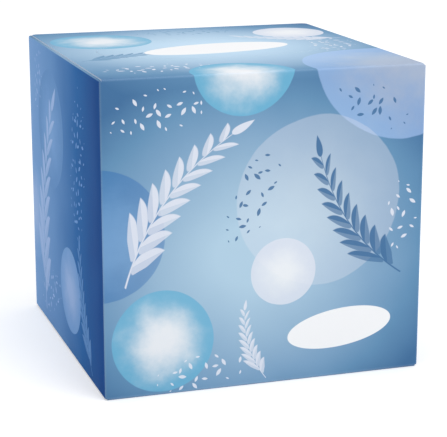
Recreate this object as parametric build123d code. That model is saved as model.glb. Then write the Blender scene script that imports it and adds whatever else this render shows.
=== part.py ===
from build123d import *
import math
import os

# Sealed cube carton of paper tissues, folded from one sheet of printed board.
#
# Millimetres. +Z is up, +X runs to the right along the front panel and -Y is the front.
# The origin is the middle of the bottom face, which the pack rests on.
#
# The front panel, the top panel and the bottom panel are one strip of board that wraps round
# the front folds. The top and bottom panels are glued down over tucked flaps, so their other
# three edges are cut edges, one board thick and set back from the folds beside them. The back
# panel laps over a glue tab at the right-hand back corner. The full pack can't be seen into,
# so it is one closed solid.

# Outside of the pack
pack_width = 116.0
pack_depth = 116.0
pack_height = 110.0

# Board and its folds
board = 0.4
fold_radius = 0.7

# Set-back of a cut edge from the end of the fold beside it
end_panel_setback = 0.2
seam_setback = 0.2

# Rounded free corners of the top and bottom panels
end_panel_corner = 2.5

# Tear-out oval in the top panel: knife cuts with uncut ties between them
tear_length = 88.0
tear_width = 50.0
tear_cut = 3.0
tear_tie = 1.0
tear_kerf = 0.2


def folded_block():
    """The four side panels and the tucked flaps, with every edge a rounded fold."""
    block = Box(pack_width, pack_depth, pack_height - 2 * board)
    block = Pos(0, 0, pack_height / 2) * block
    return fillet(block.edges(), fold_radius)


def end_panel():
    """The top panel: its front edge is a fold out of the front panel, the rest is cut."""
    front = -pack_depth / 2
    back = pack_depth / 2 - fold_radius - end_panel_setback
    side = pack_width / 2 - fold_radius - end_panel_setback
    under = pack_height - board - fold_radius
    section = make_face(
        [
            Line((front, under), (front, pack_height - fold_radius)),
            RadiusArc(
                (front, pack_height - fold_radius),
                (front + fold_radius, pack_height),
                fold_radius,
            ),
            Line((front + fold_radius, pack_height), (back, pack_height)),
            Line((back, pack_height), (back, under)),
            Line((back, under), (front, under)),
        ]
    )
    strip = extrude(Plane.YZ * section, side, both=True)
    free_corners = strip.edges().filter_by(Axis.Z).group_by(Axis.Y)[-1]
    return fillet(free_corners, end_panel_corner)


def seam_step():
    """What the back panel leaves bare of the glue tab, at the right-hand back corner."""
    bare = fold_radius + seam_setback
    step = Box(bare, board, pack_height, align=(Align.MAX, Align.MAX, Align.MIN))
    return Pos(pack_width / 2, pack_depth / 2, 0) * step


def tear_line():
    """The knife cuts of the tear-out oval, evenly spaced round it."""
    oval = Edge.make_ellipse(tear_length / 2, tear_width / 2)
    count = round(oval.length / (tear_cut + tear_tie))
    cuts = []
    for number in range(count):
        along = oval.length * number / count
        place = oval.position_at(along, PositionMode.LENGTH)
        heading = oval.tangent_at(along, PositionMode.LENGTH)
        turn = math.degrees(math.atan2(heading.Y, heading.X))
        cut = Box(tear_cut, tear_kerf, 2 * board)
        cuts.append(Pos(place.X, place.Y, pack_height) * Rot(0, 0, turn) * cut)
    return cuts


def carton():
    """The whole pack as one closed solid."""
    middle = Plane.XY.offset(pack_height / 2)
    top_panel = end_panel()
    bottom_panel = mirror(top_panel, about=middle)
    solid = folded_block() + top_panel + bottom_panel
    return solid - seam_step() - tear_line()


os.makedirs("parts", exist_ok=True)
export_step(carton(), "parts/carton.step")
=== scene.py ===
"""Sealed cube carton of paper tissues, folded from one sheet of printed and varnished board.

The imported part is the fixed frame. The carton is folded in its place, each panel gets its print,
and a plain studio stands around it.
"""
import math
from collections import namedtuple

import bmesh
import bpy
from mathutils import Color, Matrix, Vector


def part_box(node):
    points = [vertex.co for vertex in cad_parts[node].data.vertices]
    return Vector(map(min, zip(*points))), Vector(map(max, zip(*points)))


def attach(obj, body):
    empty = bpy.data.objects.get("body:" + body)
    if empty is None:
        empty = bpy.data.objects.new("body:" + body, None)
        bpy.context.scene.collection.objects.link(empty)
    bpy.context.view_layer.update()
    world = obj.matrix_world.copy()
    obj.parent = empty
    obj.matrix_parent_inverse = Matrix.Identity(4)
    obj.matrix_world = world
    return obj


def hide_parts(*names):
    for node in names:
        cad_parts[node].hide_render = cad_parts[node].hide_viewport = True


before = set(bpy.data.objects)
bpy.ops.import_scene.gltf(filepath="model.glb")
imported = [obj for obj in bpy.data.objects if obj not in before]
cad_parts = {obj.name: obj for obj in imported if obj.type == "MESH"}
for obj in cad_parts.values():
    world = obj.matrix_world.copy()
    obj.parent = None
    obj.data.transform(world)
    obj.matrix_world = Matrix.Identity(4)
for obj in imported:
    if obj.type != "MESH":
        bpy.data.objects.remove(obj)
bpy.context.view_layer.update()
carton_low, carton_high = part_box("carton")

bl_info = {
    "name": "Tissue Carton",
    "version": (1, 0, 0),
    "blender": (4, 5, 0),
    "location": "View3D > Sidebar > Carton",
    "description": "Folds and prints a sealed cube carton of paper tissues",
    "category": "Add Mesh",
}

MM = 0.001

# Settings that a user can change


def ink(red, green, blue):
    """A printed colour given as it looks on a screen, from 0 to 255, as linear light."""
    on_screen = Color((red / 255, green / 255, blue / 255))
    return (*on_screen.from_srgb_to_scene_linear(), 1.0)


def length_prop(name, description, millimetres):
    """A length, given in millimetres and kept in metres."""
    return bpy.props.FloatProperty(
        name=name,
        description=description,
        default=millimetres * MM,
        min=0.0,
        unit="LENGTH",
        precision=5,
    )


def angle_prop(name, description, degrees):
    """An angle, given in degrees."""
    return bpy.props.FloatProperty(
        name=name,
        description=description,
        default=math.radians(degrees),
        subtype="ANGLE",
    )


def power_prop(name, description, watts):
    """The power of a lamp."""
    return bpy.props.FloatProperty(
        name=name,
        description=description,
        default=watts,
        min=0.0,
        unit="POWER",
    )


def ink_prop(name, description, red, green, blue):
    """A printed colour, given as it looks on a screen."""
    return bpy.props.FloatVectorProperty(
        name=name,
        description=description,
        default=ink(red, green, blue),
        min=0.0,
        max=1.0,
        size=4,
        subtype="COLOR",
    )


class CartonSizes(bpy.types.PropertyGroup):
    """Sizes of the folded carton."""

    board: length_prop("Board", "Thickness of the board", 0.4)
    fold_radius: length_prop("Fold radius", "Outer radius of a fold", 0.7)
    setback: length_prop("Set-back", "From the end of a fold to the cut edge beside it", 0.2)
    free_corner: length_prop("Free corner", "Radius of an end panel's free corners", 2.5)
    bulge: length_prop("Bulge", "How far the tissues push each upright or top panel out", 0.35)
    tear_length: length_prop("Tear-out length", "Long axis of the tear-out oval", 88.0)
    tear_width: length_prop("Tear-out width", "Short axis of the tear-out oval", 50.0)
    tear_cut: length_prop("Tear-out cut", "Length of one knife cut", 3.0)
    tear_tie: length_prop("Tear-out tie", "Uncut board between two knife cuts", 1.0)
    tear_kerf: length_prop("Tear-out kerf", "Width of a knife cut", 0.2)


class PrintInks(bpy.types.PropertyGroup):
    """Colours of the print and of the bare board."""

    # The side inks run from haze at the back fold to deep blue at the front fold: partly print,
    # partly painted shade
    deep: ink_prop("Deep blue", "Front folds of the side panels", 2, 75, 148)
    royal: ink_prop("Royal blue", "Front half of the side panels, and the dark round", 30, 106, 177)
    violet: ink_prop("Violet blue", "Middle of the side panels and of the dark round", 107, 157, 215)
    haze: ink_prop("Haze blue", "Back half of the side panels", 133, 179, 234)
    lilac: ink_prop("Lilac", "Pale motifs of the side panels, and the lilac round", 176, 205, 250)
    slate: ink_prop("Slate blue", "Corners of the front and top, and dark motifs", 72, 115, 159)
    steel: ink_prop("Steel blue", "Edges of the front and top panels", 103, 147, 184)
    mid: ink_prop("Mid blue", "Between the edges and the middle of a panel", 128, 165, 198)
    pale: ink_prop("Pale blue", "Middle of the front and top panels", 180, 209, 229)
    # Ice blue lifts the middle of the top panel: partly print, partly a painted highlight
    ice: ink_prop("Ice blue", "Glow in the middle of the top panel", 202, 228, 249)
    pearl: ink_prop("Pearl", "Rims of the white rounds, pale sprigs and petals", 224, 229, 241)
    cyan: ink_prop("Cyan", "Rims of the cyan rounds", 112, 181, 214)
    white: ink_prop("White", "Labels and the middles of pale rounds", 246, 247, 249)
    # The fold ink is partly cracks and partly a painted highlight along the rounded folds
    crack_and_highlight: ink_prop("Cracks", "Fine cracks in the ink along the folds", 205, 225, 250)
    raw_board: ink_prop("Bare board", "Cut edges and the glue tab", 222, 235, 251)


class StudioSettings(bpy.types.PropertyGroup):
    """Camera and lights."""

    azimuth: angle_prop("Azimuth", "Turn of the camera round the carton, from the front", -18.0)
    elevation: angle_prop("Elevation", "Angle at which the camera looks down", 14.2)
    distance: length_prop("Distance", "From the camera to the point that it looks at", 600.6)
    aim_right: length_prop("Aim right", "How far right of the middle the camera looks", 3.2)
    aim_up: length_prop("Aim up", "Height of the point that the camera looks at", 45.1)
    lens: bpy.props.FloatProperty(
        name="Lens",
        description="Focal length on a sensor 36 mm wide",
        default=128.7,
        unit="CAMERA",
    )
    sky: bpy.props.FloatProperty(
        name="Sky",
        description="Strength of the even light from all round",
        default=0.6,
        min=0.0,
    )
    key: power_prop("Key lamp", "Power of the large lamp in front", 14.0)
    overhead: power_prop("Overhead lamp", "Power of the lamp overhead", 6.0)


# Modelling helpers


def select_only(piece):
    """Selects a piece and nothing else, and makes it the active one."""
    bpy.ops.object.select_all(action="DESELECT")
    bpy.context.view_layer.objects.active = piece
    piece.select_set(True)


def add_block(name, low, high):
    """Adds a block that fills the box between two corners."""
    bpy.ops.object.select_all(action="DESELECT")
    bpy.ops.mesh.primitive_cube_add(size=1, location=(low + high) / 2, scale=high - low)
    bpy.ops.object.transform_apply(location=True, rotation=False, scale=True)
    block = bpy.context.object
    block.name = name
    return block


def pick_edges(piece, wanted):
    """In edit mode, selects the edges whose two ends pass a test, and nothing else."""
    bpy.ops.mesh.select_mode(type="EDGE")
    bpy.ops.mesh.select_all(action="DESELECT")
    mesh = bmesh.from_edit_mesh(piece.data)
    for edge in mesh.edges:
        edge.select_set(wanted(edge.verts[0].co, edge.verts[1].co))
    bmesh.update_edit_mesh(piece.data)


def pick_nearest_vertex(piece, place):
    """In edit mode, selects the vertex nearest to a place, and nothing else."""
    bpy.ops.mesh.select_mode(type="VERT")
    bpy.ops.mesh.select_all(action="DESELECT")
    mesh = bmesh.from_edit_mesh(piece.data)
    nearest = min(mesh.verts, key=lambda vertex: (vertex.co - place).length)
    nearest.select_set(True)
    bmesh.update_edit_mesh(piece.data)


def combine(piece, other, operation):
    """Unites another block with a piece, or cuts it away, and removes it."""
    select_only(piece)
    bpy.ops.object.modifier_add(type="BOOLEAN")
    boolean = piece.modifiers[-1]
    boolean.operation = operation
    boolean.solver = "EXACT"
    boolean.object = other
    bpy.ops.object.modifier_apply(modifier=boolean.name)
    bpy.data.objects.remove(other)


# Board of the carton

# Flat steps round a fold and round a free corner, and cells along a panel
FOLD_STEPS = 5
CORNER_STEPS = 8
GRID_CELLS = 12

# The way that each panel looks
PANELS = {
    "front": Vector((0, -1, 0)),
    "back": Vector((0, 1, 0)),
    "left": Vector((-1, 0, 0)),
    "right": Vector((1, 0, 0)),
    "top": Vector((0, 0, 1)),
    "bottom": Vector((0, 0, -1)),
}


def panel_of(normal):
    """The panel that a face belongs to, by the way it looks."""
    return max(PANELS, key=lambda name: PANELS[name].dot(normal))


def folded_core(sizes, low, high):
    """The four upright panels over their tucked flaps, with every edge a rounded fold."""
    step = Vector((0, 0, sizes.board))
    core = add_block("tissue_carton", low + step, high - step)
    bpy.ops.object.mode_set(mode="EDIT")
    bpy.ops.mesh.select_mode(type="EDGE")
    bpy.ops.mesh.select_all(action="SELECT")
    bpy.ops.mesh.bevel(offset=sizes.fold_radius, segments=FOLD_STEPS, affect="EDGES")
    bpy.ops.object.mode_set(mode="OBJECT")
    return core


def end_panel_strip(sizes, low, high):
    """The front panel with the end panels that fold back from it, as one block."""
    margin = sizes.fold_radius + sizes.setback
    strip_low = Vector((low.x + margin, low.y, low.z))
    strip_high = Vector((high.x - margin, high.y - margin, high.z))
    strip = add_block("end_panels", strip_low, strip_high)
    middle = (strip_low.y + strip_high.y) / 2

    def front_fold(a, b):
        return a.y < middle and b.y < middle and abs(a.z - b.z) < MM

    def free_corner(a, b):
        return a.y > middle and b.y > middle and abs(a.z - b.z) > MM

    bpy.ops.object.mode_set(mode="EDIT")
    pick_edges(strip, front_fold)
    bpy.ops.mesh.bevel(offset=sizes.fold_radius, segments=FOLD_STEPS, affect="EDGES")
    pick_edges(strip, free_corner)
    bpy.ops.mesh.bevel(offset=sizes.free_corner, segments=CORNER_STEPS, affect="EDGES")
    bpy.ops.object.mode_set(mode="OBJECT")
    return strip


def seam_cutter(sizes, low, high):
    """What the back panel leaves bare of the glue tab, at the right-hand back corner."""
    bare = sizes.fold_radius + sizes.setback
    past = 10 * MM
    cutter_low = Vector((high.x - bare, high.y - sizes.board, low.z - past))
    return add_block("seam", cutter_low, high + Vector((past, past, past)))


def oval_stations(long_half, short_half, spacing):
    """Places and headings round an oval, evenly spaced along its length."""
    fine = 4000
    turns = [2 * math.pi * step / fine for step in range(fine + 1)]
    points = [(long_half * math.cos(turn), short_half * math.sin(turn)) for turn in turns]
    lengths = [0.0]
    for before, after in zip(points, points[1:]):
        lengths.append(lengths[-1] + math.dist(before, after))
    count = round(lengths[-1] / spacing)
    station = 0
    for number in range(count):
        while lengths[station] < lengths[-1] * number / count:
            station += 1
        turn = turns[station]
        heading = math.atan2(short_half * math.cos(turn), -long_half * math.sin(turn))
        yield points[station], heading


def tear_cutter(sizes, high):
    """The knife cuts of the tear-out oval, as one piece: in edit mode each new block joins it."""
    bpy.ops.object.select_all(action="DESELECT")
    cutter = None
    spacing = sizes.tear_cut + sizes.tear_tie
    for (x, y), heading in oval_stations(sizes.tear_length / 2, sizes.tear_width / 2, spacing):
        bpy.ops.mesh.primitive_cube_add(
            size=1,
            location=(x, y, high.z),
            rotation=(0, 0, heading),
            scale=(sizes.tear_cut, sizes.tear_kerf, 2 * sizes.board),
        )
        if cutter is None:
            bpy.ops.object.transform_apply(location=True, rotation=True, scale=True)
            cutter = bpy.context.object
            cutter.name = "tear_line"
            bpy.ops.object.mode_set(mode="EDIT")
    bpy.ops.object.mode_set(mode="OBJECT")
    return cutter


def cut_grid(piece, low, high):
    """Cuts the panels into cells, so that they can bulge."""
    bpy.ops.object.mode_set(mode="EDIT")
    bpy.ops.mesh.select_mode(type="FACE")
    for axis in range(3):
        normal = [0.0, 0.0, 0.0]
        normal[axis] = 1.0
        for cell in range(1, GRID_CELLS):
            place = low.lerp(high, cell / GRID_CELLS)
            bpy.ops.mesh.select_all(action="SELECT")
            bpy.ops.mesh.bisect(plane_co=place, plane_no=normal)
    bpy.ops.object.mode_set(mode="OBJECT")


def bulge_panels(piece, sizes, low, high):
    """Pulls the middle of each panel a little outwards, apart from the bottom's."""
    middle = (low + high) / 2
    halves = (high - low) / 2
    bpy.ops.object.mode_set(mode="EDIT")
    for panel, outwards in PANELS.items():
        if panel == "bottom":
            continue
        pick_nearest_vertex(piece, middle + outwards * halves)
        bpy.ops.transform.translate(
            value=outwards * sizes.bulge,
            use_proportional_edit=True,
            proportional_edit_falloff="SMOOTH",
            proportional_size=min(halves.x, halves.z),
        )
    bpy.ops.object.mode_set(mode="OBJECT")


# Texture map of the carton

# Slots of the materials: bare board, then the panels' prints
RAW = 0
FIRST_PRINT = 1

# The carton's flat sheet: left, bottom, width and height of each panel, as shares of the map
SHEET = {
    "front": (0.0, 0.5, 0.5, 0.475),
    "top": (0.5, 0.5, 0.5, 0.5),
    "left": (0.0, 0.17, 0.33, 0.315),
    "right": (0.335, 0.17, 0.33, 0.315),
    "back": (0.67, 0.17, 0.33, 0.315),
    "bottom": (0.0, 0.0, 0.165, 0.165),
    "cuts": (0.17, 0.0, 0.83, 0.165),
}
SHEET_MARGIN = 0.003

# How far a cut face reaches from the middle of its cell, as a share of the cell
CELL_REACH = 0.45


def on_sheet(panel, across, up):
    """A place on the texture map, from shares of a panel's width and height."""
    left, bottom, wide, high = SHEET[panel]
    return (
        left + SHEET_MARGIN + across * (wide - 2 * SHEET_MARGIN),
        bottom + SHEET_MARGIN + up * (high - 2 * SHEET_MARGIN),
    )


def panel_shares(panel, place):
    """How far a place is across a panel and up it, from 0 to 1, seen from outside."""
    x = (place.x - carton_low.x) / (carton_high.x - carton_low.x)
    y = (place.y - carton_low.y) / (carton_high.y - carton_low.y)
    z = (place.z - carton_low.z) / (carton_high.z - carton_low.z)
    shares = {
        "front": (x, z),
        "back": (1 - x, z),
        "left": (1 - y, z),
        "right": (y, z),
        "top": (x, y),
        "bottom": (x, 1 - y),
    }
    return shares[panel]


def map_panels(carton):
    """Lays each panel flat on the texture map, and gives each cut face a small round cell."""
    mesh = carton.data
    sheet = mesh.uv_layers.new(name="OFBake")
    cuts = [face for face in mesh.polygons if face.material_index == RAW]
    _, _, wide, high = SHEET["cuts"]
    columns = math.ceil(math.sqrt(len(cuts) * wide / high))
    rows = math.ceil(len(cuts) / columns)
    cell_of = {face.index: divmod(number, columns) for number, face in enumerate(cuts)}
    for face in mesh.polygons:
        for corner, loop in enumerate(face.loop_indices):
            if face.material_index == RAW:
                row, column = cell_of[face.index]
                turn = 2 * math.pi * corner / face.loop_total
                across = (column + 0.5 + CELL_REACH * math.cos(turn)) / columns
                up = (row + 0.5 + CELL_REACH * math.sin(turn)) / rows
                sheet.data[loop].uv = on_sheet("cuts", across, up)
            else:
                panel = panel_of(face.normal)
                place = mesh.vertices[mesh.loops[loop].vertex_index].co
                sheet.data[loop].uv = on_sheet(panel, *panel_shares(panel, place))


# The whole carton

# Edges that turn by less than this look smooth
SMOOTH_BELOW = math.radians(35)


def give_materials(piece, materials):
    """Gives a piece the bare board and every panel's print, in one order."""
    for material in materials:
        piece.data.materials.append(material)


def fold_carton(sizes, materials):
    """The whole carton, as one closed mesh with bare board where it is cut."""
    low = carton_low + Vector((sizes.bulge, sizes.bulge, 0))
    high = carton_high - Vector((sizes.bulge, sizes.bulge, sizes.bulge))

    carton = folded_core(sizes, low, high)
    give_materials(carton, materials)
    for face in carton.data.polygons:
        face.material_index = FIRST_PRINT

    strip = end_panel_strip(sizes, low, high)
    give_materials(strip, materials)
    for face in strip.data.polygons:
        cut_edge = panel_of(face.normal) in ("back", "left", "right")
        face.material_index = RAW if cut_edge else FIRST_PRINT
    combine(carton, strip, "UNION")

    for cutter in (seam_cutter(sizes, low, high), tear_cutter(sizes, high)):
        give_materials(cutter, materials)
        combine(carton, cutter, "DIFFERENCE")

    cut_grid(carton, low, high)
    bulge_panels(carton, sizes, low, high)

    slots = {name: number for number, name in enumerate(PANELS, start=FIRST_PRINT)}
    for face in carton.data.polygons:
        if face.material_index != RAW:
            face.material_index = slots[panel_of(face.normal)]
    map_panels(carton)
    select_only(carton)
    bpy.ops.object.shade_smooth_by_angle(angle=SMOOTH_BELOW)
    return carton


# Layout of the print

# The flat prints, in millimetres. The front and top panels are one strip of board, so they share
# one plane: from the front's middle, u runs to the right, and v up the front and back over the top.
# A side panel's print starts from its own middle, and u runs to its front fold.
PANEL_DEEP = (carton_high.y - carton_low.y) / MM
PANEL_TALL = (carton_high.z - carton_low.z) / MM

# Where v meets the fold between the front and the top, and the middle of the top
FOLD = PANEL_TALL / 2
TOP = FOLD + PANEL_DEEP / 2

# How far the edge of a shape fades, as a share of its half size
PRINT_EDGE = 0.012

# Motifs stand at (u, v). A turn is in degrees, and cover is the share of ink that is laid down.
Round = namedtuple("Round", "u v radius middle rim cover edge", defaults=(PRINT_EDGE,))
Spray = namedtuple("Spray", "u v long_half short_half turn ink cover")
Sprig = namedtuple("Sprig", "u v length turn ink cover")
Label = namedtuple("Label", "u v long_half short_half turn")
Glow = namedtuple("Glow", "u v half_u half_v")

# A ground is a row of inks, each at its share of the way from the ground's palest place
Design = namedtuple("Design", "ground rounds sprays sprigs labels")

# The palest places of the front and the top, whose half sizes are a share of 1
STRIP_GLOWS = (Glow(-5, -8, 62, 55), Glow(-8, TOP + 2, 74, 59))

# The print of the front and the top, which the back repeats
STRIP = Design(
    ground=(
        (0.0, "pale"),
        (0.2, "pale"),
        (0.8, "mid"),
        (1.0, "steel"),
        (1.25, "slate"),
    ),
    rounds=(
        # This ice round brightens the middle of the top: partly print, partly a painted highlight
        Round(0, TOP + 1, 60, "ice", "ice", 0.95, 1.0),
        Round(50, 62, 33, "pearl", "lilac", 0.5),
        Round(19, 9, 30, "white", "pearl", 0.28),
        Round(-59, 2, 23, "violet", "royal", 0.45),
        Round(-37, -36, 18, "white", "cyan", 0.85),
        Round(6, -15, 12, "white", "pearl", 0.8),
        Round(-8, FOLD + 3, 18, "white", "cyan", 0.9),
        Round(-36, TOP + 28, 19, "white", "cyan", 0.8),
        Round(40, TOP + 32, 14, "white", "pearl", 0.9),
    ),
    sprays=(
        Spray(-39, 43, 23, 9, 8, "pearl", 0.95),
        Spray(38, 41, 18, 9, -22, "slate", 0.9),
        Spray(-5, 12, 23, 9, 66, "slate", 0.9),
        Spray(50, 2, 16, 8, 82, "pearl", 0.95),
        Spray(-23, -48, 22, 8, 6, "pearl", 0.95),
        Spray(-34, TOP - 40, 24, 10, 8, "pearl", 0.95),
        Spray(44, TOP - 4, 22, 11, 70, "pearl", 0.95),
        Spray(2, TOP + 44, 26, 9, 0, "steel", 0.8),
    ),
    sprigs=(
        Sprig(-50, -16, 66, 52, "pearl", 0.95),
        Sprig(50, -19, 56, 124, "slate", 0.95),
        Sprig(0, -53, 28, 106, "pearl", 0.95),
        Sprig(54, TOP + 12, 40, 158, "pearl", 0.95),
        Sprig(-54, TOP - 18, 40, 14, "steel", 0.85),
    ),
    labels=(
        Label(27.2, -37.2, 19.6, 7, 6.5),
        Label(0, TOP - 2.5, 29, 11.5, 10),
    ),
)

# The print of both side panels. Its ground darkens towards the front fold: partly print, partly
# painted shade.
SIDES = Design(
    ground=(
        (0.0, "haze"),
        (0.35, "violet"),
        (0.7, "royal"),
        (0.96, "deep"),
    ),
    rounds=(
        Round(-20, 24, 22, "haze", "violet", 0.9),
        Round(8, -30, 16, "lilac", "haze", 0.85),
        Round(-56, -14, 20, "lilac", "haze", 0.8),
    ),
    sprays=(
        Spray(24, 18, 36, 13, 84, "haze", 0.8),
        Spray(-26, -40, 24, 10, 20, "lilac", 0.9),
        Spray(-42, 40, 17, 9, 75, "lilac", 0.75),
    ),
    sprigs=(
        Sprig(-36, -50, 88, 76, "lilac", 0.9),
        Sprig(40, -52, 46, 110, "violet", 0.9),
    ),
    labels=(),
)

# How each panel lies on its print: scale, turn in degrees and shift in millimetres
Lay = namedtuple("Lay", "scale turn shift")
LAYS = {
    "front": Lay((1, 0, 1), (-90, 0, 0), (0, -FOLD, 0)),
    "back": Lay((-1, 0, 1), (-90, 0, 0), (0, -FOLD, 0)),
    "left": Lay((0, 1, 1), (-90, 90, 0), (0, -FOLD, 0)),
    "right": Lay((0, 1, 1), (-90, 90, 0), (0, -FOLD, 0)),
    "top": Lay((1, 1, 0), (0, 0, 0), (0, TOP, 0)),
    "bottom": Lay((1, 1, 0), (0, 0, 0), (0, -TOP, 0)),
}


# Node groups of the print

VECTOR, NUMBER, COLOUR = "NodeSocketVector", "NodeSocketFloat", "NodeSocketColor"

# Sockets of a Mix node that mixes colours. Its other kinds have sockets of the same names.
MIX_INPUTS = (0, 6, 7)
MIX_RESULT = 2


class Press:
    """Adds nodes to one tree and links them, each step giving the socket that it ends in."""

    def __init__(self, tree):
        self.tree = tree

    def add(self, kind, **settings):
        """A new node of a kind, with its settings."""
        node = self.tree.nodes.new(kind)
        for name, value in settings.items():
            setattr(node, name, value)
        return node

    def feed(self, socket, value):
        """Links a socket to another one, or sets it to a plain value."""
        if isinstance(value, bpy.types.NodeSocket):
            self.tree.links.new(value, socket)
        else:
            socket.default_value = value

    def step(self, kind, values, **settings):
        """The outputs of a new node whose first inputs take the values in order."""
        node = self.add(kind, **settings)
        for socket, value in zip(node.inputs, values):
            self.feed(socket, value)
        return node.outputs

    def math(self, operation, *values, clamp=False):
        """One sum with numbers."""
        return self.step("ShaderNodeMath", values, operation=operation, use_clamp=clamp)[0]

    def vector(self, operation, *values):
        """One sum with vectors."""
        outputs = self.step("ShaderNodeVectorMath", values, operation=operation)
        return outputs["Value" if operation == "LENGTH" else "Vector"]

    def split(self, vector):
        """The three parts of a vector."""
        return self.step("ShaderNodeSeparateXYZ", (vector,))

    def group(self, tree, *values):
        """The outputs of a node group."""
        return self.step("ShaderNodeGroup", values, node_tree=tree)

    def smooth(self, value, start, end):
        """0 before start and 1 past end, easing between them."""
        node = self.add("ShaderNodeMapRange", interpolation_type="SMOOTHSTEP")
        self.feed(node.inputs["Value"], value)
        self.feed(node.inputs["From Min"], start)
        self.feed(node.inputs["From Max"], end)
        return node.outputs["Result"]

    def mix(self, factor, under, over):
        """One colour laid over another, as far as the factor says."""
        node = self.add("ShaderNodeMix", data_type="RGBA")
        for number, value in zip(MIX_INPUTS, (factor, under, over)):
            self.feed(node.inputs[number], value)
        return node.outputs[MIX_RESULT]

    def placed(self, vector, u, v, turn=0.0, wide=1.0, high=None):
        """Coordinates of a motif that stands at (u, v), turned by degrees and of that size."""
        node = self.add("ShaderNodeMapping", vector_type="TEXTURE")
        self.feed(node.inputs["Vector"], vector)
        node.inputs["Location"].default_value = (u, v, 0)
        node.inputs["Rotation"].default_value = (0, 0, math.radians(turn))
        node.inputs["Scale"].default_value = (wide, high or wide, 1)
        return node.outputs[0]

    def turned(self, vector, angle):
        """A vector turned about Z."""
        node = self.add("ShaderNodeVectorRotate", rotation_type="Z_AXIS")
        self.feed(node.inputs["Vector"], vector)
        self.feed(node.inputs["Angle"], angle)
        return node.outputs[0]

    def noise(self, vector, scale, detail=2.0, roughness=0.5):
        """Even noise from 0 to 1."""
        node = self.add("ShaderNodeTexNoise")
        self.feed(node.inputs["Vector"], vector)
        node.inputs["Scale"].default_value = scale
        node.inputs["Detail"].default_value = detail
        node.inputs["Roughness"].default_value = roughness
        return node.outputs["Fac"]


def new_group(name, inputs, outputs):
    """An empty node group with its sockets, and a press that fills it."""
    tree = bpy.data.node_groups.new(name, "ShaderNodeTree")
    for label, kind in inputs:
        tree.interface.new_socket(label, in_out="INPUT", socket_type=kind)
    for label, kind in outputs:
        tree.interface.new_socket(label, in_out="OUTPUT", socket_type=kind)
    press = Press(tree)
    return press, press.add("NodeGroupInput").outputs, press.add("NodeGroupOutput").inputs


def sprig_group():
    """A curved stem along +X, one unit long, with leaves to both sides and one at its tip."""
    arch = 0.4
    pitch = 0.105
    spread = math.radians(38)
    base_leaf, tip_leaf = 0.24, 0.1
    first, last = 0.1, 0.95
    plump = 0.48
    stem_half, thin_end = 0.007, 0.5
    tip_start, tip_length = 0.95, 0.13
    leaf_edge = 0.004
    shaded = 0.75

    press, inputs, outputs = new_group("leaf_sprig", [("Vector", VECTOR)], [("Mask", NUMBER)])
    along, beside, _ = press.split(inputs[0])
    rest = press.math("SUBTRACT", 1.0, along)
    bend = press.math("MULTIPLY", press.math("MULTIPLY", along, rest), arch)
    across = press.math("SUBTRACT", beside, bend)
    away = press.math("ABSOLUTE", across)

    def leaf(reach, off, length):
        """A leaf of that length: how far along it, and how far off its middle line."""
        share = press.math("DIVIDE", reach, length, clamp=True)
        waist = press.math("SUBTRACT", 1.0, share)
        half = press.math("MULTIPLY", press.math("SQRT", share), waist)
        half = press.math("MULTIPLY", half, press.math("MULTIPLY", length, plump))
        inside = press.math("SUBTRACT", half, press.math("ABSOLUTE", off))
        return press.math("DIVIDE", inside, leaf_edge, clamp=True)

    # Each point follows its leaf down to the stem, which gives the leaf's number and its start
    other_side = press.math("LESS_THAN", across, 0.0)
    root = press.math("MULTIPLY_ADD", away, -1 / math.tan(spread), along)
    root = press.math("MULTIPLY_ADD", other_side, pitch / 2, root)
    count = press.math("DIVIDE", root, pitch)
    number = press.math("FLOOR", count)
    off = press.math("SUBTRACT", press.math("SUBTRACT", count, number), 0.5)
    off = press.math("MULTIPLY", off, pitch * math.sin(spread))
    start = press.math("MULTIPLY_ADD", number, pitch, pitch / 2)
    length = press.math("MULTIPLY_ADD", start, tip_leaf - base_leaf, base_leaf)
    reach = press.math("DIVIDE", away, math.sin(spread))
    leaves = leaf(reach, off, length)
    leaves = press.math("MULTIPLY", leaves, press.math("GREATER_THAN", start, first))
    leaves = press.math("MULTIPLY", leaves, press.math("LESS_THAN", start, last))
    bright_half = press.math("GREATER_THAN", off, 0.0)
    shade = press.math("MULTIPLY_ADD", bright_half, 1 - shaded, shaded)
    leaves = press.math("MULTIPLY", leaves, shade)

    tip = leaf(press.math("SUBTRACT", along, tip_start), across, tip_length)

    # The stem runs from 0 to 1, which is no further than a half from its middle
    within = press.math("COMPARE", along, 0.5, 0.5)
    taper = press.math("MULTIPLY_ADD", along, (thin_end - 1) * stem_half, stem_half)
    stem = press.math("DIVIDE", press.math("SUBTRACT", taper, away), leaf_edge, clamp=True)
    stem = press.math("MULTIPLY", stem, within)
    press.feed(outputs[0], press.math("MAXIMUM", press.math("MAXIMUM", leaves, tip), stem))
    return press.tree


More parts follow.
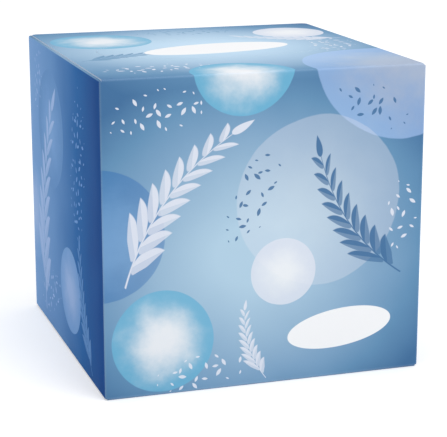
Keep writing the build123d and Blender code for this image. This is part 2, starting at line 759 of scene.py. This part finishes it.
def spray_group():
    """Small petals adrift in an oval, in millimetres, smaller towards its rim."""
    spacing, scatter = 4.0, 0.8
    petal_half, petal_width = 1.6, 0.7
    petal_edge = 0.2
    full_to = 0.5
    least, more = 0.55, 0.5
    smallest_seen = 0.25
    above_zero = 0.001

    press, inputs, outputs = new_group(
        "petal_spray",
        [("Vector", VECTOR), ("Middle", VECTOR), ("Turn", NUMBER), ("Halves", VECTOR)],
        [("Mask", NUMBER)],
    )
    place, middle, turn, halves = inputs[:4]

    cells = press.add("ShaderNodeTexVoronoi", voronoi_dimensions="2D", feature="F1")
    press.feed(cells.inputs["Vector"], place)
    cells.inputs["Scale"].default_value = 1 / spacing
    cells.inputs["Randomness"].default_value = scatter
    seed = cells.outputs["Position"]
    chance_turn, chance_size, _ = press.split(cells.outputs["Color"])

    from_middle = press.vector("SUBTRACT", seed, middle)
    out = press.turned(from_middle, press.math("MULTIPLY", turn, -1.0))
    out = press.vector("LENGTH", press.vector("DIVIDE", out, halves))
    size = press.smooth(out, 1.0, full_to)
    size = press.math("MULTIPLY", size, press.math("MULTIPLY_ADD", chance_size, more, least))
    size = press.math("MAXIMUM", size, above_zero)

    petal_turn = press.math("MULTIPLY", chance_turn, 2 * math.pi)
    x, y, _ = press.split(press.turned(press.vector("SUBTRACT", place, seed), petal_turn))
    x = press.math("DIVIDE", x, press.math("MULTIPLY", size, petal_half))
    y = press.math("DIVIDE", y, press.math("MULTIPLY", size, petal_width))
    inside = press.math("SUBTRACT", 1.0, press.math("MULTIPLY", x, x))
    inside = press.math("SUBTRACT", inside, press.math("ABSOLUTE", y))
    mask = press.math("DIVIDE", inside, petal_edge, clamp=True)
    seen = press.math("GREATER_THAN", size, smallest_seen)
    press.feed(outputs[0], press.math("MULTIPLY", mask, seen))
    return press.tree


def strip_share(press, place):
    """How far a point of the front or the top is from the middle of its pale ground."""
    shares = []
    for glow in STRIP_GLOWS:
        local = press.placed(place, glow.u, glow.v, wide=glow.half_u, high=glow.half_v)
        shares.append(press.vector("LENGTH", local))
    return press.math("MINIMUM", *shares)


def side_share(press, place):
    """How far a point of a side panel is from its back fold to its front fold."""
    across = press.split(place)[0]
    return press.math("MULTIPLY_ADD", across, 1 / PANEL_DEEP, 0.5)


def ground_paint(press, share, ground, colour):
    """The ground's ink at a share of the way from its palest place."""
    ramp = press.add("ShaderNodeValToRGB")
    longest = ground[-1][0]
    press.feed(ramp.inputs[0], press.math("DIVIDE", share, longest))
    stops = ramp.color_ramp.elements
    while len(stops) < len(ground):
        stops.new(0.5)
    for stop, (at, key) in zip(stops, ground):
        stop.position = at / longest
        stop.color = colour(key)
    return ramp.outputs[0]


def print_group(name, inks, design, share_of, sprig_tree, spray_tree):
    """One print, in millimetres: its ground, then its motifs, each over the last."""
    wash_scale, wash_shift = 0.035, 0.16
    bloom_scale, bloom_detail, bloom_roughness = 0.11, 4.0, 0.6
    fill_start, fill_bloom = 0.1, 0.7
    outline_drift, outline_bloom = 0.08, 0.02

    press, inputs, outputs = new_group(name, [("Vector", VECTOR)], [("Color", COLOUR)])
    place = inputs[0]

    def colour(key):
        return tuple(getattr(inks, key))

    def uneven(*settings):
        """Noise about zero."""
        return press.math("SUBTRACT", press.noise(place, *settings), 0.5)

    def inside(out, edge):
        """1 within a shape whose rim is at 1, fading over its edge."""
        return press.math("DIVIDE", press.math("SUBTRACT", 1.0, out), edge, clamp=True)

    def over(paint, mask, cover, fill):
        """Paint with a fill laid over it where a mask lets it through."""
        return press.mix(press.math("MULTIPLY", mask, cover), paint, fill)

    wash = uneven(wash_scale)
    bloom = uneven(bloom_scale, bloom_detail, bloom_roughness)
    drift = uneven(wash_scale, 0.0)
    share = press.math("MULTIPLY_ADD", wash, wash_shift, share_of(press, place))
    paint = ground_paint(press, share, design.ground, colour)

    for motif in design.rounds:
        local = press.placed(place, motif.u, motif.v, wide=motif.radius)
        out = press.math("MULTIPLY_ADD", drift, outline_drift, press.vector("LENGTH", local))
        depth = press.math("MULTIPLY_ADD", bloom, fill_bloom, out)
        depth = press.smooth(depth, fill_start, 1.0)
        fill = press.mix(depth, colour(motif.middle), colour(motif.rim))
        rim = press.math("MULTIPLY_ADD", bloom, outline_bloom, out)
        paint = over(paint, inside(rim, motif.edge), motif.cover, fill)
    for motif in design.sprays:
        middle = (motif.u, motif.v, 0)
        halves = (motif.long_half, motif.short_half, 1)
        mask = press.group(spray_tree, place, middle, math.radians(motif.turn), halves)[0]
        paint = over(paint, mask, motif.cover, colour(motif.ink))
    for motif in design.sprigs:
        local = press.placed(place, motif.u, motif.v, motif.turn, motif.length)
        paint = over(paint, press.group(sprig_tree, local)[0], motif.cover, colour(motif.ink))
    for motif in design.labels:
        local = press.placed(place, motif.u, motif.v, motif.turn, motif.long_half, motif.short_half)
        out = press.vector("LENGTH", local)
        paint = over(paint, inside(out, PRINT_EDGE), 1.0, colour("white"))
    press.feed(outputs[0], paint)
    return press.tree


def crease_group():
    """How near a point is to a fold, from 0 to 1, by its place on the carton."""
    starts, full = 1.3 * MM, 0.3 * MM

    press, inputs, outputs = new_group("crease", [("Vector", VECTOR)], [("Crease", NUMBER)])
    middle = (carton_low + carton_high) / 2
    halves = (carton_high - carton_low) / 2
    inside = press.vector("ABSOLUTE", press.vector("SUBTRACT", inputs[0], middle))
    x, y, z = press.split(press.vector("SUBTRACT", halves, inside))

    # A fold is where two panels are near, so the second nearest panel tells how far it is
    lesser = press.math("MINIMUM", x, y)
    greater = press.math("MAXIMUM", x, y)
    second = press.math("MAXIMUM", lesser, press.math("MINIMUM", greater, z))
    press.feed(outputs[0], press.smooth(second, starts, full))
    return press.tree


# Materials of the carton


def new_material(name):
    """A new material, a press for its nodes and its shader."""
    material = bpy.data.materials.new(name)
    material.use_nodes = True
    tree = material.node_tree
    return material, Press(tree), tree.nodes["Principled BSDF"]


def printed_material(panel, inks, print_tree, crease_tree):
    """One panel's varnished print, with a pale line along its folds: fine cracks in the ink, and
    partly a painted highlight.
    """
    fibre_scale, fibre_detail = 2500.0, 3.0
    most_cracked_and_lit = 0.25
    smoothest, rougher = 0.5, 0.12
    gloss = 0.03
    bump_strength, bump_height = 0.15, 0.02 * MM

    material, press, shader = new_material("print_" + panel)
    where = press.add("ShaderNodeTexCoord").outputs["Object"]
    lay = press.add("ShaderNodeMapping", vector_type="POINT")
    press.feed(lay.inputs["Vector"], where)
    lay.inputs["Scale"].default_value = [share / MM for share in LAYS[panel].scale]
    lay.inputs["Rotation"].default_value = [math.radians(angle) for angle in LAYS[panel].turn]
    lay.inputs["Location"].default_value = LAYS[panel].shift
    paint = press.group(print_tree, lay.outputs[0])[0]

    fibre = press.noise(where, fibre_scale, fibre_detail)
    crease = press.group(crease_tree, where)[0]
    # Paint turns pale along the folds: cracks in the ink, and partly a painted highlight where a
    # fold would catch the light
    cracks_and_highlight = press.math("MULTIPLY", fibre, most_cracked_and_lit)
    paint = press.mix(press.math("MULTIPLY", crease, cracks_and_highlight), paint, tuple(inks.crack_and_highlight))
    press.feed(shader.inputs["Base Color"], paint)
    press.feed(shader.inputs["Roughness"], press.math("MULTIPLY_ADD", fibre, rougher, smoothest))
    shader.inputs["Specular IOR Level"].default_value = gloss
    bump = press.add("ShaderNodeBump")
    bump.inputs["Strength"].default_value = bump_strength
    bump.inputs["Distance"].default_value = bump_height
    press.feed(bump.inputs["Height"], fibre)
    press.feed(shader.inputs["Normal"], bump.outputs[0])
    return material


def raw_board_material(inks):
    """Bare board, where the sheet is cut."""
    flat_layers = (1, 1, 12)
    fibre_scale, fibre_detail, fibre_roughness = 1200.0, 4.0, 0.6
    darkest = 0.92
    roughness, gloss = 0.9, 0.2

    material, press, shader = new_material("raw_board")
    where = press.add("ShaderNodeTexCoord").outputs["Object"]
    layers = press.add("ShaderNodeMapping")
    press.feed(layers.inputs["Vector"], where)
    layers.inputs["Scale"].default_value = flat_layers
    fibre = press.noise(layers.outputs[0], fibre_scale, fibre_detail, fibre_roughness)
    board = tuple(inks.raw_board)
    dark = tuple(darkest * share for share in board[:3]) + (1.0,)
    press.feed(shader.inputs["Base Color"], press.mix(fibre, dark, board))
    shader.inputs["Roughness"].default_value = roughness
    shader.inputs["Specular IOR Level"].default_value = gloss
    return material


def carton_materials(inks):
    """Bare board first, then each panel's print."""
    trees = sprig_group(), spray_group()
    strip = print_group("strip_print", inks, STRIP, strip_share, *trees)
    sides = print_group("side_print", inks, SIDES, side_share, *trees)
    prints = {"left": sides, "right": sides}
    crease = crease_group()
    return [raw_board_material(inks)] + [
        printed_material(panel, inks, prints.get(panel, strip), crease) for panel in PANELS
    ]


# Studio

WHITE = (1, 1, 1, 1)
FLOOR_COLOUR = (0.82, 0.82, 0.82, 1)

# How much the floor glows where it is seen, so that it looks as white as the background
FLOOR_LIFT = 0.4

# Sizes and places in metres, and the width of the camera's sensor in millimetres
FLOOR_SIZE = 3.0
LAMP_SIZE = 1.2
KEY_PLACE = Vector((0.7, -1.5, 1.0))
OVERHEAD_PLACE = Vector((0.0, 0.1, 1.5))
NEAREST_SEEN = 0.01
SENSOR_WIDTH = 36.0


def seen_white(press):
    """1 for rays that show the background, straight or through gloss or glass, and 0 for others."""
    path = press.add("ShaderNodeLightPath").outputs
    seen = press.math("MAXIMUM", path["Is Camera Ray"], path["Is Glossy Ray"])
    return press.math("MAXIMUM", seen, path["Is Transmission Ray"])


def lay_floor():
    """A wide white floor, which keeps a soft shadow."""
    bpy.ops.object.select_all(action="DESELECT")
    bpy.ops.mesh.primitive_plane_add(size=FLOOR_SIZE, location=(0, 0, 0))
    floor = bpy.context.object
    floor.name = "floor"
    material, press, shader = new_material("floor_white")
    shader.inputs["Base Color"].default_value = FLOOR_COLOUR
    shader.inputs["Roughness"].default_value = 1.0
    shader.inputs["Specular IOR Level"].default_value = 0.0
    shader.inputs["Emission Color"].default_value = WHITE
    lift = press.math("MULTIPLY", seen_white(press), FLOOR_LIFT)
    press.feed(shader.inputs["Emission Strength"], lift)
    floor.data.materials.append(material)


def add_lamp(name, place, aim, power):
    """A square soft lamp that shines at a point."""
    bpy.ops.object.light_add(type="AREA", location=place)
    lamp = bpy.context.object
    lamp.name = name
    lamp.data.shape = "SQUARE"
    lamp.data.size = LAMP_SIZE
    lamp.data.energy = power
    lamp.rotation_mode = "QUATERNION"
    lamp.rotation_quaternion = (aim - place).to_track_quat("-Z", "Y")


def light_studio(scene, settings):
    """An even sky, a large lamp in front to the right and one overhead."""
    world = bpy.data.worlds.new("studio")
    scene.world = world
    world.use_nodes = True
    press = Press(world.node_tree)
    sky = world.node_tree.nodes["Background"]
    sky.inputs["Color"].default_value = WHITE
    lift = press.math("MULTIPLY_ADD", seen_white(press), 1.0 - settings.sky, settings.sky)
    press.feed(sky.inputs["Strength"], lift)
    middle = Vector((0, 0, carton_high.z / 2))
    add_lamp("key_lamp", KEY_PLACE, middle, settings.key)
    add_lamp("overhead_lamp", OVERHEAD_PLACE, middle, settings.overhead)


def set_camera(scene, settings):
    """A long lens, in front to the left and a little above."""
    flat = math.cos(settings.elevation)
    to_camera = Vector(
        (
            math.sin(settings.azimuth) * flat,
            -math.cos(settings.azimuth) * flat,
            math.sin(settings.elevation),
        )
    )
    aim = Vector((settings.aim_right, 0, settings.aim_up))
    bpy.ops.object.camera_add(location=aim + to_camera * settings.distance)
    camera = bpy.context.object
    camera.rotation_mode = "QUATERNION"
    camera.rotation_quaternion = (-to_camera).to_track_quat("-Z", "Y")
    camera.data.lens = settings.lens
    camera.data.sensor_width = SENSOR_WIDTH
    camera.data.clip_start = NEAREST_SEEN
    scene.camera = camera
    scene.view_settings.view_transform = "Standard"


# Operators and their panel


class CARTON_OT_fold(bpy.types.Operator):
    """Fold the carton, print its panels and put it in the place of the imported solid"""

    bl_idname = "carton.fold"
    bl_label = "Fold Carton"
    bl_options = {"REGISTER", "UNDO"}

    def execute(self, context):
        scene = context.scene
        carton = fold_carton(scene.carton_sizes, carton_materials(scene.print_inks))
        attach(carton, "root")
        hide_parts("carton")
        return {"FINISHED"}


class CARTON_OT_studio(bpy.types.Operator):
    """Lay the floor, hang the lamps and set the camera"""

    bl_idname = "carton.studio"
    bl_label = "Set Up Studio"
    bl_options = {"REGISTER", "UNDO"}

    def execute(self, context):
        settings = context.scene.studio
        lay_floor()
        light_studio(context.scene, settings)
        set_camera(context.scene, settings)
        return {"FINISHED"}


class CARTON_PT_sidebar(bpy.types.Panel):
    """Sizes, inks and studio of the tissue carton"""

    bl_label = "Tissue Carton"
    bl_idname = "CARTON_PT_sidebar"
    bl_space_type = "VIEW_3D"
    bl_region_type = "UI"
    bl_category = "Carton"

    def draw(self, context):
        scene = context.scene
        groups = (
            (CARTON_OT_fold, (scene.carton_sizes, scene.print_inks)),
            (CARTON_OT_studio, (scene.studio,)),
        )
        for operator, settings in groups:
            box = self.layout.box()
            for group in settings:
                for name in group.__annotations__:
                    box.prop(group, name)
            box.operator(operator.bl_idname)


CLASSES = (
    CartonSizes,
    PrintInks,
    StudioSettings,
    CARTON_OT_fold,
    CARTON_OT_studio,
    CARTON_PT_sidebar,
)
SETTINGS = {"carton_sizes": CartonSizes, "print_inks": PrintInks, "studio": StudioSettings}


def register():
    """Registers the classes, and gives each scene its settings."""
    for cls in CLASSES:
        bpy.utils.register_class(cls)
    for name, group in SETTINGS.items():
        setattr(bpy.types.Scene, name, bpy.props.PointerProperty(type=group))


def unregister():
    """Takes the settings and the classes away again."""
    for name in SETTINGS:
        delattr(bpy.types.Scene, name)
    for cls in reversed(CLASSES):
        bpy.utils.unregister_class(cls)


def main():
    register()
    bpy.ops.carton.fold()
    bpy.ops.carton.studio()


if __name__ == "__main__":
    main()
